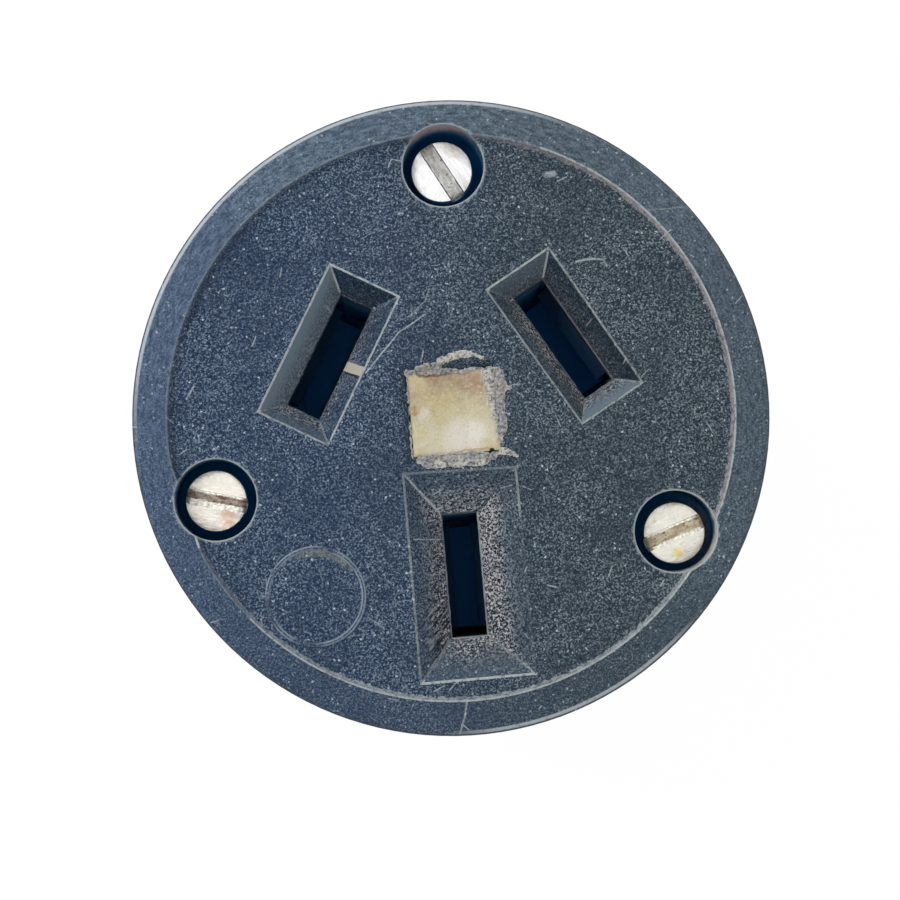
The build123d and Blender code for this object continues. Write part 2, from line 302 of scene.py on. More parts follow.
# How rubbed its edges are: outer and inner edges at the left, top, right and bottom, and the lines in the
# corners at the top left, top right, bottom left and bottom right
edge_looks = {
    "left": ((1.0, 1.1, 0.9, 0.75), (0.6, 0.25, 0.3, 0.4), (1.1, 0.1, 0.5, 0.5)),
    "right": ((0.6, 1.1, 0.6, 0.75), (0.7, 0.2, 0.5, 0.4), (0.3, 1.1, 0.6, 0.6)),
    "lower": ((0.45, 0.3, 0.5, 1.1), (0.7, 0.2, 0.9, 0.8), (0.9, 0.0, 0.35, 0.4)),
}
sides = ("left", "top", "right", "bottom")
recess_axes = ((0.86, 15.04), (-14.42, -3.77), (12.75, -8.02))
for face in front.data.polygons:
    at = face.center * 1000
    is_edge = face.material_index == 1
    if is_edge and not by_the_wax(at):
        on_step = 16.4 < at.xy.length < 17.2
        worn[face.index].value = 0.3 if on_step and 0.8 * at.x - 0.6 * at.y < -4 else 1.0
        # The mouths of the recesses are painted paler on their lower sides
        recess = min(recess_axes, key=lambda axis: (at.xy - Vector(axis)).length)
        if (at.xy - Vector(recess)).length < 2.8 and at.y < recess[1] - 0.6:
            worn[face.index].value = 1.7
    slot = min(slot_places, key=lambda name: (Vector(slot_places[name]) - at.xy).length)
    near = (Vector(slot_places[slot]) - at.xy).length < 7.5 and not by_the_wax(at)
    if not near or at.z < 39.5 or at.z > 41.55 or at.xy.length > 16.4:
        continue
    facing = Matrix.Rotation(-slot_turns[slot], 2) @ face.normal.xy
    if abs(facing.x) > abs(facing.y):
        side = "left" if facing.x > 0 else "right"
    else:
        side = "bottom" if facing.y > 0 else "top"
    if is_edge:
        outer, inner, corners = edge_looks[slot]
        if at.z > 41.35:
            # The right outer edge of the lower entry can't be made out below its upper third
            lost = (slot, side) == ("lower", "right") and at.y < -6.3
            rubbed_and_highlit = 0.08 if lost else outer[sides.index(side)]
        elif at.z < 39.85:
            rubbed_and_highlit = inner[sides.index(side)]
        else:
            rubbed_and_highlit = corners[(0 if facing.y < 0 else 2) + (0 if facing.x > 0 else 1)]
        worn[face.index].value = rubbed_and_highlit
    elif 0.3 < face.normal.z < 0.98:
        dusty[face.index].value, hazy[face.index].value = slope_looks[slot][side]
        tooled[face.index].value = float((slot, side) == ("lower", "left"))


def colour(red, green, blue):
    """Linear colour of three screen values from 0 to 255."""
    shares = (red / 255, green / 255, blue / 255)
    return tuple(v / 12.92 if v <= 0.04045 else ((v + 0.055) / 1.055) ** 2.4 for v in shares) + (1.0,)


def times(*values, clamp=False):
    """Product of one or more values."""
    return sums("MULTIPLY", *values, clamp=clamp) if values[1:] else values[0]


def vectors(operation, *values):
    """Output of a Vector Math node, as a number for the operations that give one."""
    inputs = dict(zip((0, "Scale" if operation == "SCALE" else 1), values))
    node = wire(tree_of(values), "ShaderNodeVectorMath", inputs, operation=operation)
    return node.outputs["Value" if operation in ("DISTANCE", "DOT_PRODUCT", "LENGTH") else "Vector"]


def parts(vector):
    """X, Y and Z of a vector."""
    return wire(vector.id_data, "ShaderNodeSeparateXYZ", {0: vector}).outputs


def blend(share, first, second):
    """Colour between two colours, each an output or screen values."""
    inputs = {0: share}
    for key, tone in ((6, first), (7, second)):
        inputs[key] = tone if isinstance(tone, bpy.types.NodeSocket) else colour(*tone)
    return wire(tree_of((share, first, second)), "ShaderNodeMix", inputs, data_type="RGBA").outputs[2]


def coat(skin, tone, *shares):
    """Skin with a tone laid over it, as strong as the product of the shares."""
    return blend(times(*shares), skin, tone)


def rise(value, low, high, start=0.0, end=1.0):
    """Smooth step of value between low and high."""
    return wire(
        value.id_data, "ShaderNodeMapRange",
        {"Value": value, "From Min": low, "From Max": high, "To Min": start, "To Max": end},
        interpolation_type="SMOOTHSTEP",
    ).outputs[0]


def band(value, start, full, fade, end):
    """Mask that is 1 where value lies between full and fade, and 0 before start and past end."""
    return times(rise(value, start, full), rise(value, end, fade))


def apart(value, other):
    """How far two values are apart."""
    return sums("ABSOLUTE", sums("SUBTRACT", value, other))


def clouds(vector, scale, detail=2.0, roughness=0.5, distortion=0.0, output="Fac"):
    """Output of a noise texture."""
    return wire(vector.id_data, "ShaderNodeTexNoise", {
        "Vector": vector, "Scale": scale, "Detail": detail, "Roughness": roughness, "Distortion": distortion,
    }).outputs[output]


def stretched(vector, place=(0, 0, 0), turn=0.0, scale=(1, 1, 1)):
    """Coordinates of a pattern that is put at a place, turned and stretched."""
    return wire(vector.id_data, "ShaderNodeMapping", {
        "Vector": vector, "Location": place, "Rotation": (0, 0, turn), "Scale": scale,
    }, vector_type="TEXTURE").outputs[0]


def new_group(name, inputs, outputs):
    """Node group with float and vector inputs, by the type of their values, and float or colour outputs."""
    group = bpy.data.node_groups.new(name, "ShaderNodeTree")
    for label, value in inputs.items():
        kind = "NodeSocketFloat" if isinstance(value, float) else "NodeSocketVector"
        group.interface.new_socket(label, in_out="INPUT", socket_type=kind).default_value = value
    for label in outputs:
        kind = "NodeSocketColor" if label == "Colour" else "NodeSocketFloat"
        group.interface.new_socket(label, in_out="OUTPUT", socket_type=kind)
    return group, group.nodes.new("NodeGroupInput").outputs, group.nodes.new("NodeGroupOutput")


# Moulded grain: short pale flecks like worms, sparse bright specks and fine light and dark grain
grains = ("Flecks", "Specks", "Grain")
speckle, given, made = new_group("speckle", {"Vector": (0, 0, 0), "Fineness": 1.0}, grains)
fine = vectors("SCALE", given["Vector"], given["Fineness"])
ridge = apart(clouds(fine, 5.8, 1.0), 0.5)
broken = rise(clouds(fine, 5.0, 1.0, distortion=0.4), 0.46, 0.60)
worms = times(rise(ridge, 0.085, 0.02), broken, 0.6)
blobs = rise(clouds(fine, 8.5, 1.0), 0.54, 0.64)
drift = rise(clouds(fine, 0.35), 0.3, 0.7, 0.45, 1.0)
shake = vectors("SCALE", clouds(fine, 11.0, 1.0, output="Color"), 0.22)
shaken = vectors("ADD", fine, shake)
cells = wire(speckle, "ShaderNodeTexVoronoi", {"Vector": shaken, "Scale": 3.6}).outputs
few = wire(speckle, "ShaderNodeSeparateColor", {0: cells["Color"]}).outputs[0]
feed(made, {
    "Flecks": times(sums("MAXIMUM", worms, blobs), drift),
    "Specks": times(rise(cells["Distance"], 0.30, 0.12), rise(few, 0.66, 0.96)),
    "Grain": clouds(fine, 6.0, 3.0, 0.7),
})

# Scratch: a line between two points on the face, in millimetres
scratch, given, made = new_group(
    "scratch", {"Vector": (0, 0, 0), "Start": (0, 0, 0), "End": (1, 0, 0), "Width": 0.08}, ("Mask",)
)
reach = vectors("SUBTRACT", given["End"], given["Start"])
away = vectors("SUBTRACT", given["Vector"], given["Start"])
along, whole = (vectors("DOT_PRODUCT", vector, reach) for vector in (away, reach))
nearest = vectors("SCALE", reach, sums("DIVIDE", along, whole, clamp=True))
gap = sums("DIVIDE", vectors("DISTANCE", away, nearest), given["Width"])
feed(made, {"Mask": rise(gap, 0.75, 0.25)})

# Nick: short hairlines that lie scattered at all angles, one to some of the cells of a pattern
nick, given, made = new_group("nick", {"Vector": (0, 0, 0)}, ("Mask",))
coarse = {"Vector": given["Vector"], "Scale": 0.5}
cells = wire(nick, "ShaderNodeTexVoronoi", coarse, voronoi_dimensions="2D").outputs
off = vectors("SUBTRACT", given["Vector"], cells["Position"])
luck = wire(nick, "ShaderNodeSeparateColor", {0: cells["Color"]}).outputs
angle = times(luck[0], math.tau)
lie = wire(nick, "ShaderNodeVectorRotate", {"Vector": off, "Angle": angle}, rotation_type="Z_AXIS").outputs[0]
along, across, _ = (sums("ABSOLUTE", part) for part in parts(lie))
short = rise(sums("SUBTRACT", along, times(luck[1], 0.3)), 0.15, 0.05)
feed(made, {
    "Mask": times(rise(across, 0.05, 0.02), short, rise(luck[2], 0.5, 1.0, 0.0, 0.7)),
})

# Patch: a round spot with a soft edge, in millimetres
patch, given, made = new_group("patch", {"Vector": (0, 0, 0), "Centre": (0, 0, 0), "Radius": 1.0}, ("Mask",))
gap = sums("DIVIDE", vectors("DISTANCE", given["Vector"], given["Centre"]), given["Radius"])
feed(made, {"Mask": rise(gap, 1.0, 0.35)})

# Handled skin: the smoother outside of both mouldings, with paler clouds where it is gripped and upright rubs
handled, given, made = new_group(
    "handled", {"Vector": (0, 0, 0), "Flecks": 0.0, "Specks": 0.0, "Grain": 0.5},
    ("Colour", "Roughness", "Height"),
)
tone = blend(rise(given["Grain"], 0.3, 0.7), (8, 30, 50), (38, 60, 84))
gripped = rise(clouds(given["Vector"], 0.16, 3.0, 0.55), 0.42, 0.66)
tone = coat(tone, (90, 106, 122), gripped, 0.2)
flecks, specks = times(given["Flecks"], 0.3), times(given["Specks"], 0.55)
spotted = sums("MAXIMUM", flecks, specks)
tone = coat(tone, (150, 168, 186), spotted)
x, y, z = parts(given["Vector"])
turned = times(sums("ARCTAN2", y, x), 19.0)
upright = wire(handled, "ShaderNodeCombineXYZ", {0: turned, 1: times(z, 0.35)}).outputs[0]
rubs = rise(clouds(upright, 1.6, 4.0, 0.75, 0.6), 0.60, 0.72)
feed(made, {
    "Colour": coat(tone, (150, 162, 174), rubs, 0.22),
    "Roughness": rise(sums("MAXIMUM", spotted, gripped), 0.0, 1.0, 0.38, 0.62),
    "Height": sums("ADD", given["Grain"], times(rubs, -0.5)),
})


def use(group, inputs):
    """Outputs of a node group that is given these inputs."""
    return wire(tree_of(inputs.values()), "ShaderNodeGroup", inputs, node_tree=group).outputs


def phenolic(place, fineness):
    """Outputs of the moulded grain, and of the handled skin with that grain."""
    grain = use(speckle, {"Vector": place, "Fineness": fineness})
    return grain, use(handled, {"Vector": place, **{name: grain[name] for name in grains}})


def spot_mask(vector, centre, radius):
    """Mask of a round spot."""
    return use(patch, {"Vector": vector, "Centre": centre, "Radius": radius})[0]


def marks(vector, lines):
    """The strongest of several scratches, each given by start, end, width and strength."""
    strongest = None
    for start, end, width, strength in lines:
        inputs = {"Vector": vector, "Start": (*start, 0), "End": (*end, 0), "Width": width}
        mask = times(use(scratch, inputs)[0], strength)
        strongest = mask if strongest is None else sums("MAXIMUM", strongest, mask)
    return strongest


def mapped_material(name):
    """Material, its node tree, and Object coordinates in millimetres."""
    material, tree = new_material(name)
    return material, tree, vectors("SCALE", wire(tree, "ShaderNodeTexCoord").outputs["Object"], 1000.0)


def on_the_face(place, waver=0.1):
    """Place on the face, without its height, that wavers a little so that drawn lines aren't ruled."""
    flat = vectors("MULTIPLY", place, (1, 1, 0))
    sway = vectors("SUBTRACT", clouds(flat, 1.4, 3.0, output="Color"), (0.5, 0.5, 0.5))
    return vectors("ADD", flat, vectors("MULTIPLY", sway, (waver, waver, 0)))


def painted(tree, name):
    """Value that the faces or points of the mesh carry under a name."""
    return wire(tree, "ShaderNodeAttribute", attribute_name=name).outputs["Fac"]


def dress(tree, looks, height, strength, depth):
    """Give the material's shader its looks, and a bump of a depth in millimetres."""
    bump = wire(tree, "ShaderNodeBump", {"Height": height, "Strength": strength, "Distance": depth / 1000})
    feed(tree.nodes["Principled BSDF"], {**looks, "Normal": bump.outputs[0]})


front_phenolic, tree, place = mapped_material("front_phenolic")
face_place = on_the_face(place)
x, y, z = parts(place)
flat_place = wire(tree, "ShaderNodeCombineXYZ", {0: x, 1: y}).outputs[0]
spots, side_skin = phenolic(place, 1.0)
radius = vectors("LENGTH", face_place)
true_radius = vectors("LENGTH", flat_place)
rim = rise(true_radius, 16.80, 16.95)

# Ground colour, bluer to the left
grain = rise(spots["Grain"], 0.36, 0.66)
leftward = blend(grain, (0, 24, 52), (42, 66, 96))
rightward = blend(grain, (4, 24, 38), (50, 66, 78))
ground = blend(rise(x, -10, 10), leftward, rightward)

# The rim is smoother, with faint turned streaks; it is painted paler at the upper left, toward the lamp, as
# haze and painted light, and paler at the right
toward_lamp = vectors("DOT_PRODUCT", flat_place, (-0.5 / 19, 0.86 / 19, 0))
haze_and_painted_light = sums("ADD", rise(toward_lamp, -0.5, 1.0, 0.16), rise(x, 8, 18, 0.0, 0.34))
angle = sums("ARCTAN2", y, x)
ringed = {0: times(true_radius, 5.0), 1: times(angle, 26.0)}
ringed = wire(tree, "ShaderNodeCombineXYZ", ringed).outputs[0]
streaks = rise(clouds(ringed, 1.0, 3.0, 0.6), 0.35, 0.75, 0.16, 0.76)
rim_tone = blend(rise(x, -17, -8), (110, 132, 166), (126, 146, 164))
ground = coat(ground, rim_tone, haze_and_painted_light, rim, streaks)
# The slopes are painted lighter, as haze and painted light that fades towards the throat, and darker, as
# painted shade, by the slope table
haze_light_shade_share = painted(tree, "hazy")
haze_and_light_part = times(haze_light_shade_share, rise(z, 40.2, 41.2, 0.6), clamp=True)
ground = coat(ground, (124, 142, 154), haze_and_light_part)
ground = coat(ground, (4, 26, 44), times(haze_light_shade_share, -1.0, clamp=True))
# Inside the slots the moulding is painted blue, brighter further down, as painted light that lifts the shade
# there
deep_painted_light_tone = blend(rise(z, 38.4, 36.5), (12, 60, 92), (44, 150, 205))
ground = coat(ground, deep_painted_light_tone, rise(z, 39.4, 38.6), rise(true_radius, 12.5, 12.2))

# Flecks and specks, fewer on the rim
clear_share = sums("SUBTRACT", 1.0, sums("ABSOLUTE", haze_light_shade_share))
unhidden = times(rise(rim, 0.0, 1.0, 1.0, 0.7), clear_share)
flecks = times(unhidden, spots["Flecks"], 0.8)
specks = times(unhidden, spots["Specks"])
fleck_tone = blend(rise(x, -8, 6), (138, 158, 178), (142, 156, 164))
skin = coat(coat(ground, fleck_tone, flecks), (196, 210, 222), specks)

# Dust on the slopes of the entries: beige and black grit that lies in drifts, thickest near the opening
grit = clouds(place, 7.0, 3.0, 0.8)
near_opening = rise(z, 41.4, 40.1, 0.18, 1.1)
drifts = rise(clouds(place, 0.9, 3.0, 0.6), 0.34, 0.6, 0.45, 1.0)
dusty_share = times(painted(tree, "dusty"), near_opening, drifts)
black_share = times(dusty_share, 0.9)
skin = coat(skin, (12, 22, 32), times(rise(grit, 0.48, 0.42), black_share, clamp=True))
grit_tone = blend(rise(z, 41.1, 40.1), (150, 160, 170), (208, 202, 200))
skin = coat(skin, grit_tone, times(rise(grit, 0.50, 0.58), dusty_share, clamp=True))

# The cutter of the mould left slanting lines at the lower left
tooled_share = painted(tree, "tooled")
gashes = clouds(stretched(place, turn=math.radians(8), scale=(0.5, 0.13, 1.0)), 1.0)
skin = coat(
    skin, (10, 20, 32), rise(gashes, 0.47, 0.39), tooled_share, rise(z, 40.7, 40.2),
    rise(y, -7.0, -7.6, 0.0, 0.85),
)
tool_lines = clouds(stretched(place, turn=math.radians(48), scale=(0.8, 0.11, 1.0)), 1.0)
tooled_share = times(tooled_share, rise(y, -10.4, -11.6), rise(z, 41.3, 40.7, 0.15))
skin = coat(skin, (10, 20, 32), tooled_share, rise(tool_lines, 0.48, 0.40), 0.85)
skin = coat(skin, (168, 172, 172), tooled_share, rise(tool_lines, 0.53, 0.63), 0.6)

# Dust on the outer wall of the throat of the right entry
skin = coat(
    skin, (138, 128, 132), rise(z, 38.6, 39.5, 0.1, 0.75), rise(z, 39.85, 39.72),
    rise(grit, 0.35, 0.6, 0.5), rise(x, 6.8, 7.2), rise(true_radius, 12.4, 12.2),
)

# Dust caught on the step round the disc, with painted light on the step wall: drawn at the right and the
# bottom, where the wall faces the lamp
ragged = clouds(place, 2.6, 3.0, 0.7)
crumbly = times(sums("SUBTRACT", clouds(place, 3.2, 3.0, 0.7), 0.5), 0.55)
toward_lit_step = vectors("DOT_PRODUCT", flat_place, (0.8 / 17, -0.6 / 17, 0))
step_dust_and_light = times(
    rise(sums("ADD", radius, crumbly), 16.72, 16.77), rise(radius, 16.97, 16.91),
    rise(toward_lit_step, -0.8, 0.3), rise(ragged, 0.3, 0.6, 0.25),
    rise(grit, 0.38, 0.56, 0.45, 0.95),
)
skin = coat(skin, blend(rise(y, -12, -4), (176, 184, 190), (172, 164, 168)), step_dust_and_light)

# The outer edge gets a painted highlight at the upper left and the lower right, in patches
toward_foot = vectors("DOT_PRODUCT", flat_place, (0.35 / 19, -0.94 / 19, 0))
lit = sums("MAXIMUM", rise(toward_lamp, 0.42, 0.8), rise(toward_foot, 0.88, 0.97, 0.0, 0.9))
skin = coat(
    skin, (200, 210, 216), band(true_radius, 18.68, 18.78, 18.88, 18.98), lit,
    rise(ragged, 0.25, 0.5, 0.5), 0.85,
)
# Just outside it, where the edge falls away to the side, lies a thin painted shade line
skin = coat(skin, (12, 28, 44), rise(true_radius, 18.92, 19.0), 0.85)

# Worn edges, broken by the grain
edge_wear = times(
    painted(tree, "worn"), rise(ragged, 0.32, 0.52, 0.35), rise(true_radius, 18.6, 18.4)
)
skin = coat(skin, (192, 200, 200), times(edge_wear, 0.75, clamp=True))
from_axes = [vectors("DISTANCE", flat_place, (*axis, 0)) for axis in recess_axes]
from_recess = sums("MINIMUM", *from_axes)
skin = coat(
    skin, (150, 164, 172), rise(from_recess, 2.38, 2.42),
    rise(sums("ADD", from_recess, crumbly), 2.62, 2.50), rise(z, 41.2, 41.4),
    rise(ragged, 0.34, 0.6, 0.2, 0.85),
)
# Down in the recesses it is painted bright blue too, as painted light that lifts the shade there
skin = coat(skin, (28, 124, 182), rise(from_recess, 2.65, 2.50), rise(z, 40.0, 39.0))

# Both flanks of the raised ejector mark get a painted highlight in patches, most at the left and the right,
# and dirt lies inside it
from_mark = vectors("DISTANCE", flat_place, (*mark_place.xy, 0))
flank = apart(apart(from_mark, 2.88), 0.09)
rubbed_and_highlit = rise(clouds(flat_place, 0.55, 1.0), 0.38, 0.62, 0.15, 0.75)
skin = coat(skin, (158, 174, 190), rise(flank, 0.075, 0.02), rubbed_and_highlit)
from_dirt = vectors("DISTANCE", flat_place, (-8.15, -7.6, 0))
skin = coat(
    skin, (140, 144, 134), band(from_mark, 2.25, 2.6, 2.75, 2.85),
    rise(from_dirt, 2.2, 0.8), rise(grit, 0.42, 0.58, 0.15, 0.75),
)

# Dust on the walls of the upper and right screw recesses, painted pale also as painted light on these walls
for axis, spot, size, wall_dust_and_light in (
    ((0.84, 15.06, 0), (0.6, 17.5, 41.7), 2.8, (168, 156, 162)),
    ((12.75, -8.02, 0), (15.1, -7.9, 41.2), 4.8, (202, 198, 196)),
):
    within = vectors("DISTANCE", flat_place, axis)
    skin = coat(
        skin, wall_dust_and_light, spot_mask(place, spot, size), rise(within, 2.50, 2.45),
        rise(ragged, 0.3, 0.55, 0.3),
    )

# Scratches and nicks on the face. Many more scratch groups here and the material renders black.
scratches = marks(face_place, (
    ((-4.85, 3.02), (-2.67, 5.30), 0.08, 0.8), ((-2.67, 5.30), (-0.95, 6.25), 0.08, 0.6),
    ((-1.99, 6.20), (-0.95, 7.01), 0.07, 0.3), ((-0.95, 7.01), (-0.64, 7.77), 0.08, 0.4),
    ((8.28, 8.61), (9.19, 8.71), 0.13, 0.55), ((9.19, 8.71), (9.90, 8.59), 0.13, 0.55),
    ((9.90, 8.59), (10.11, 8.21), 0.11, 0.4), ((7.0, 13.97), (7.4, 14.03), 0.36, 0.6),
    ((12.84, 11.28), (15.19, 11.26), 0.07, 0.3), ((-0.52, -16.98), (-0.75, -17.9), 0.11, 0.5),
    ((-0.75, -17.9), (-1.11, -18.86), 0.11, 0.4), ((-15.66, 2.40), (-15.18, 3.12), 0.1, 0.65),
    ((-5.89, -11.58), (-5.05, -12.31), 0.09, 0.3), ((-2.85, -7.15), (-1.23, -7.23), 0.08, 0.6),
))
nicks = use(nick, {"Vector": face_place})[0]
scratches = times(sums("MAXIMUM", scratches, nicks), rise(ragged, 0.3, 0.55, 0.35))
skin = coat(skin, (190, 200, 206), scratches)
# A beige patch lies across the right slope of the left entry, with a dark line under it
across, along, _ = parts(stretched(face_place, (*slot_places["left"], 0), slot_turns["left"]))
skin = coat(
    skin, (204, 198, 184), band(along, -0.38, -0.31, 0.22, 0.29),
    band(across, 1.0, 1.06, 2.34, 2.42), rise(grit, 0.3, 0.5, 0.75, 0.95),
)
skin = coat(
    skin, (12, 24, 38), band(along, -0.52, -0.46, -0.38, -0.33),
    band(across, 1.1, 1.3, 2.1, 2.3), 0.85,
)
# Two dark lines painted as the shade in two dents on the disc at the right
dent_shade_lines = marks(face_place, (
    ((13.14, -0.48), (12.97, -1.73), 0.09, 0.7), ((12.57, -2.90), (12.45, -4.27), 0.08, 0.7),
))
skin = coat(skin, (14, 30, 46), dent_shade_lines)
loose = sums("MAXIMUM", flecks, specks, step_dust_and_light, dusty_share)
roughness = rise(loose, 0.0, 1.0, 0.46, 0.85)

# The side, below its rounded edge
on_side = times(rise(true_radius, 18.85, 18.98), rise(z, 41.75, 41.5))
skin = blend(on_side, skin, side_skin["Colour"])
roughness = wire(tree, "ShaderNodeMix", {0: on_side, 2: roughness, 3: side_skin["Roughness"]}).outputs[0]
height = sums("ADD", times(spots["Grain"], 0.6), times(grit, dusty_share))
height = sums("SUBTRACT", height, scratches)
dress(tree, {"Base Color": skin, "Roughness": roughness, "Specular IOR Level": 0.22}, height, 0.35, 0.03)

take_only(front)
ejector_mark.select_set(True)
bpy.ops.object.join()
finished(front, front_phenolic)
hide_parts("front_moulding")
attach(front, "root")


# Rear housing: the same phenolic, pressed as one cup that narrows to a neck for the cord. It stands on the
# end of the neck, and its lip laps the front moulding. It is handled most, so it is smoother, with scuffs.
def outer_rim(at, along, convex):
    """Whether an edge is an outward one of the wide end or of the neck."""
    return convex and (at.xy.length > 12.4 or at.z < 12.5 and at.xy.length > 6)


rear = softened_copy("rear_housing", "rear_housing_body", ((0.00015, 3, outer_rim),))
worn = rear.data.attributes.new("worn", "FLOAT", "FACE").data
for face in rear.data.polygons:
    worn[face.index].value = float(face.material_index)

rear_phenolic, tree, place = mapped_material("rear_phenolic")
spots, side_skin = phenolic(place, 0.9)
patchy = rise(clouds(place, 2.2, 3.0, 0.7), 0.38, 0.62)
edge_wear = times(painted(tree, "worn"), patchy, 0.45)
dress(tree, {
    "Base Color": coat(side_skin["Colour"], (160, 172, 180), edge_wear),
    "Roughness": side_skin["Roughness"], "Specular IOR Level": 0.22,
}, side_skin["Height"], 0.25, 0.03)
finished(rear, rear_phenolic)
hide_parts("rear_housing")
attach(rear, "root")


# Assembly screws: plated steel, fillister heads with a driver slot, sunk in the face. Their plating has gone
# dull and white, and old dirt fills the slots.
head_top = 39.9
crown_radius = 1.86
# For each head: the place of its axis, how far the head lies off it, its turn, its tone, the two tones of the
# dirt in its slot, half the width of that dirt and how far it lies to one side, how wide and high the slot is
# filled, a stain with its place and size, and how much of the head is soiled
screw_looks = {
    "top": (
        (0.84, 15.06), (-0.09, -0.10), 118.0, (255, 255, 255), (190, 188, 182), (238, 237, 232), 0.36, 0.0,
        (0.80, -0.01), (214, 206, 196), (1.6, 16.3), 0.8, 0.08,
    ),
    "left": (
        (-14.62, -3.70), (0.10, -0.07), -15.3, (242, 237, 226), (124, 98, 86), (206, 190, 176), 0.18, 0.14,
        (0.92, 0.01), (206, 168, 146), (-13.92, -4.89), 0.8, 0.3,
    ),
    "right": (
        (12.86, -7.88), (-0.055, -0.20), 18.4, (238, 236, 224), (186, 168, 138), (230, 216, 188), 0.26, 0.05,
        (0.92, 0.01), (222, 198, 84), (12.92, -9.25), 0.40, 0.35,
    ),
}


def new_sheet(name, cells, centre, spread, turn=0.0):
    """Level grid at a place and of a size in millimetres, turned by degrees, with its place in its mesh."""
    bpy.ops.object.select_all(action="DESELECT")
    bpy.ops.mesh.primitive_grid_add(
        x_subdivisions=cells[0], y_subdivisions=cells[1], size=1.0,
        location=[v / 1000 for v in centre], rotation=(0, 0, math.radians(turn)),
    )
    sheet = bpy.context.object
    sheet.name = name
    sheet.scale = (spread[0] / 1000, spread[1] / 1000, 1.0)
    bpy.ops.object.transform_apply(location=True, rotation=True, scale=True)
    return sheet


def thickened(sheet, depth):
    """Give a sheet a depth in millimetres, downwards."""
    solid = sheet.modifiers.new("depth", "SOLIDIFY")
    solid.thickness = depth / 1000
    solid.offset = -1.0
    bpy.ops.object.modifier_apply(modifier="depth")


for name, look in screw_looks.items():
    axis, shift, turn, tint, dirt_deep, dirt_light, dirt_half, dirt_side = look[:8]
    (fill_width, fill_level), stain_tone, stain_place, stain_size, soil = look[8:]
    centre = (axis[0] + shift[0], axis[1] + shift[1])
    screw = softened_copy(f"assembly_screw_{name}", f"assembly_screw_{name}_worn", (
        (0.00005, 2, lambda at, along, convex: convex and at.z > head_top - 1.0),
    ))
    # The crown is pressed nearly square: its flat runs out almost to the edge. The head is off its axis.
    for vertex in screw.data.vertices:
        if vertex.co.z > (head_top - 1.9) / 1000:
            off = vertex.co.xy * 1000 - Vector(axis)
            if vertex.co.z > (head_top - 0.4) / 1000 and off.length > 1.45:
                off *= 1 + 0.85 * (crown_radius - off.length) / off.length
            vertex.co.xy = (off + Vector(centre)) / 1000
    plating, tree, place = mapped_material(f"screw_plating_{name}")
    local = stretched(place, (*centre, 0), math.radians(turn))
    streak = clouds(vectors("MULTIPLY", local, (0.8, 3.0, 1.0)), 2.2, 4.0, 0.7)
    mottle = clouds(place, 2.6, 5.0, 0.75)
    metal = blend(rise(streak, 0.3, 0.7), tuple(0.93 * v for v in tint), tint)
    metal = coat(metal, (158, 142, 122), rise(mottle, 0.50, 0.70), soil)
    stain = spot_mask(place, (*stain_place, head_top), stain_size)
    metal = coat(metal, stain_tone, stain, rise(mottle, 0.38, 0.58, 0.25, 0.85))
    # Grime round the foot of the crown, and dirt that spreads from the slot
    from_axis = vectors("DISTANCE", on_the_face(place, 0.3), (*centre, 0))
    metal = coat(metal, (150, 134, 112), rise(from_axis, 1.6, 1.85, 0.0, soil))
    across = sums("ADD", sums("ABSOLUTE", parts(local)[1]), times(mottle, 0.4))
    metal = coat(metal, dirt_light, rise(across, 0.66, 0.5), 0.5)
    dress(tree, {
        "Base Color": metal, "Metallic": 0.9, "Roughness": rise(mottle, 0.3, 0.7, 0.3, 0.45),
    }, sums("ADD", streak, mottle), 0.5, 0.05)
    finished(screw, plating)
    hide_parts(f"assembly_screw_{name}")
    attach(screw, "root")

    middle = (*centre, head_top + fill_level)
    dirt = new_sheet(f"slot_dirt_{name}", (60, 12), middle, (3.66, fill_width), turn)
    for vertex in dirt.data.vertices:
        at = vertex.co * 1000
        past_flat = max(0.0, ((at.xy - Vector(centre)).length - 1.55) / 0.3)
        lift = 0.05 * noise.noise(at * 2.6) + 0.06 * noise.noise(at * 7.0) - 0.2 * past_flat ** 2
        vertex.co.z += lift / 1000
    thickened(dirt, 0.3)
    packed_dirt, tree, place = mapped_material(f"packed_dirt_{name}")
    local = stretched(place, (*centre, 0), math.radians(turn))
    lumps = clouds(vectors("MULTIPLY", local, (0.6, 1.6, 1.0)), 2.6, 4.0, 0.7)
    earth = blend(rise(lumps, 0.36, 0.6), dirt_deep, dirt_light)
    bits = rise(clouds(place, 4.2, 3.0, 0.6), 0.60, 0.66)
    earth = coat(earth, (64, 50, 44), bits, 0.75)
    # Beside the dirt band the filling looks like the head
    uneven = times(sums("SUBTRACT", lumps, 0.5), 0.35)
    across = sums("ADD", apart(parts(local)[1], dirt_side), uneven)
    beside = rise(across, dirt_half, dirt_half + 0.09)
    dress(tree, {
        "Base Color": coat(earth, tuple(0.97 * v for v in tint), beside),
        "Metallic": times(beside, 0.8), "Roughness": rise(beside, 0.0, 1.0, 0.92, 0.5),
    }, lumps, 0.6, 0.08)
    finished(dirt, packed_dirt)
    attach(dirt, "root")


